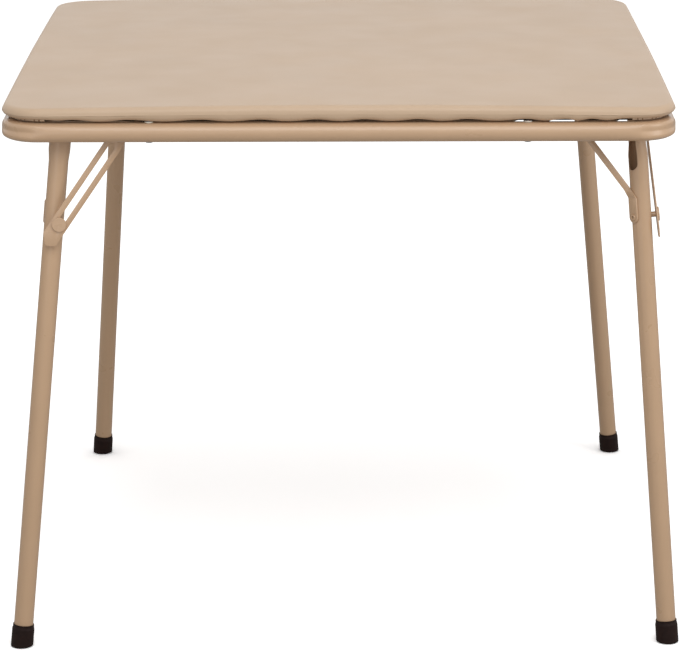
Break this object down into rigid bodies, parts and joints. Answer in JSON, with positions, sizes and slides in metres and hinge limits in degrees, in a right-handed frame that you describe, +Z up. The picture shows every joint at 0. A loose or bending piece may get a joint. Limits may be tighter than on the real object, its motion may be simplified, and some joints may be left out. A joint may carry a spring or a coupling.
{
  "type": "folding card table",
  "caption": "Square folding card table with a padded vinyl top, a bent tube frame and tube legs that fold flat along its sides, each locked by a slotted brace.",
  "frame": {"origin": "on the floor under the middle of the frame", "axes": "+Z up, +Y towards the back, +X to the right as seen from the front"},
  "size_m": [0.8811, 0.8934, 0.727],
  "materials": {
    "tan_paint": "satin tan powder coat",
    "vinyl": "smooth tan vinyl with a fine leather grain",
    "foam": "open cell foam",
    "hardboard": "pressed hardboard",
    "cap_rubber": "matt dark brown rubber",
    "zinc": "zinc plated steel",
    "washer": "off white moulded nylon spacer"
  },
  "bodies": {
    "frame": {"frame_tube": "tan_paint", "top_board": "hardboard", "foam_pad": "foam", "vinyl_cover": "vinyl", "top_screws": "zinc", "top_washers": "washer", "front_left_bracket": "tan_paint", "front_left_hinge_rod": "tan_paint", "front_left_brace_rivet": "tan_paint", "front_right_bracket": "tan_paint", "front_right_hinge_rod": "tan_paint", "front_right_brace_rivet": "tan_paint", "back_right_bracket": "tan_paint", "back_right_hinge_rod": "tan_paint", "back_right_brace_rivet": "tan_paint", "back_left_bracket": "tan_paint", "back_left_hinge_rod": "tan_paint", "back_left_brace_rivet": "tan_paint"},
    "front_left_leg_set": {"front_left_leg": "tan_paint", "front_left_foot_cap": "cap_rubber", "front_left_stay": "tan_paint", "front_left_stay_rivet": "tan_paint"},
    "front_left_brace_arm": {"front_left_brace": "tan_paint"},
    "front_left_pin": {"front_left_lock_pin": "tan_paint"},
    "front_right_leg_set": {"front_right_leg": "tan_paint", "front_right_foot_cap": "cap_rubber", "front_right_stay": "tan_paint", "front_right_stay_rivet": "tan_paint"},
    "front_right_brace_arm": {"front_right_brace": "tan_paint"},
    "front_right_pin": {"front_right_lock_pin": "tan_paint"},
    "back_right_leg_set": {"back_right_leg": "tan_paint", "back_right_foot_cap": "cap_rubber", "back_right_stay": "tan_paint", "back_right_stay_rivet": "tan_paint"},
    "back_right_brace_arm": {"back_right_brace": "tan_paint"},
    "back_right_pin": {"back_right_lock_pin": "tan_paint"},
    "back_left_leg_set": {"back_left_leg": "tan_paint", "back_left_foot_cap": "cap_rubber", "back_left_stay": "tan_paint", "back_left_stay_rivet": "tan_paint"},
    "back_left_brace_arm": {"back_left_brace": "tan_paint"},
    "back_left_pin": {"back_left_lock_pin": "tan_paint"}
  },
  "joints": [
    {"name": "front_left_leg_fold", "type": "hinge", "parent": "frame", "child": "front_left_leg_set", "pos_m": [-0.355, -0.3825, 0.6833], "axis": [0, -0.9974, 0.0724], "range_deg": [0, 93]},
    {"name": "front_left_brace_turn", "type": "hinge", "parent": "frame", "child": "front_left_brace_arm", "pos_m": [-0.272, -0.39895, 0.6887], "axis": [0, -0.9951, 0.0988], "range_deg": [0, 123.44]},
    {"name": "front_left_pin_slide", "type": "slide", "parent": "front_left_brace_arm", "child": "front_left_pin", "axis": [0.5668, 0.0527, 0.8221], "range_m": [0, 0.11397]},
    {"name": "front_right_leg_fold", "type": "hinge", "parent": "frame", "child": "front_right_leg_set", "pos_m": [0.3825, -0.355, 0.6833], "axis": [0.9974, 0, 0.0724], "range_deg": [0, 93]},
    {"name": "front_right_brace_turn", "type": "hinge", "parent": "frame", "child": "front_right_brace_arm", "pos_m": [0.39895, -0.272, 0.6887], "axis": [0.9951, 0, 0.0988], "range_deg": [0, 123.44]},
    {"name": "front_right_pin_slide", "type": "slide", "parent": "front_right_brace_arm", "child": "front_right_pin", "axis": [-0.0527, 0.5668, 0.8221], "range_m": [0, 0.11397]},
    {"name": "back_right_leg_fold", "type": "hinge", "parent": "frame", "child": "back_right_leg_set", "pos_m": [0.355, 0.3825, 0.6833], "axis": [0, 0.9974, 0.0724], "range_deg": [0, 93]},
    {"name": "back_right_brace_turn", "type": "hinge", "parent": "frame", "child": "back_right_brace_arm", "pos_m": [0.272, 0.39895, 0.6887], "axis": [0, 0.9951, 0.0988], "range_deg": [0, 123.44]},
    {"name": "back_right_pin_slide", "type": "slide", "parent": "back_right_brace_arm", "child": "back_right_pin", "axis": [-0.5668, -0.0527, 0.8221], "range_m": [0, 0.11397]},
    {"name": "back_left_leg_fold", "type": "hinge", "parent": "frame", "child": "back_left_leg_set", "pos_m": [-0.329, 0.35, 0.6833], "axis": [-0.9974, 0, 0.0724], "range_deg": [0, 94.1]},
    {"name": "back_left_brace_turn", "type": "hinge", "parent": "frame", "child": "back_left_brace_arm", "pos_m": [-0.34545, 0.267, 0.6887], "axis": [-0.9951, 0, 0.0988], "range_deg": [0, 124.17]},
    {"name": "back_left_pin_slide", "type": "slide", "parent": "back_left_brace_arm", "child": "back_left_pin", "axis": [0.0523, -0.5773, 0.8149], "range_m": [0, 0.11523]}
  ],
  "couplings": [
    {"joint": "front_left_brace_turn", "follows": "front_left_leg_fold", "ratio": 1.3273},
    {"joint": "front_left_pin_slide", "follows": "front_left_leg_fold", "m_per_rad": 0.070212},
    {"joint": "front_right_brace_turn", "follows": "front_right_leg_fold", "ratio": 1.3273},
    {"joint": "front_right_pin_slide", "follows": "front_right_leg_fold", "m_per_rad": 0.070212},
    {"joint": "back_right_brace_turn", "follows": "back_right_leg_fold", "ratio": 1.3273},
    {"joint": "back_right_pin_slide", "follows": "back_right_leg_fold", "m_per_rad": 0.070212},
    {"joint": "back_left_brace_turn", "follows": "back_left_leg_fold", "ratio": 1.3196},
    {"joint": "back_left_pin_slide", "follows": "back_left_leg_fold", "m_per_rad": 0.070158}
  ]
}
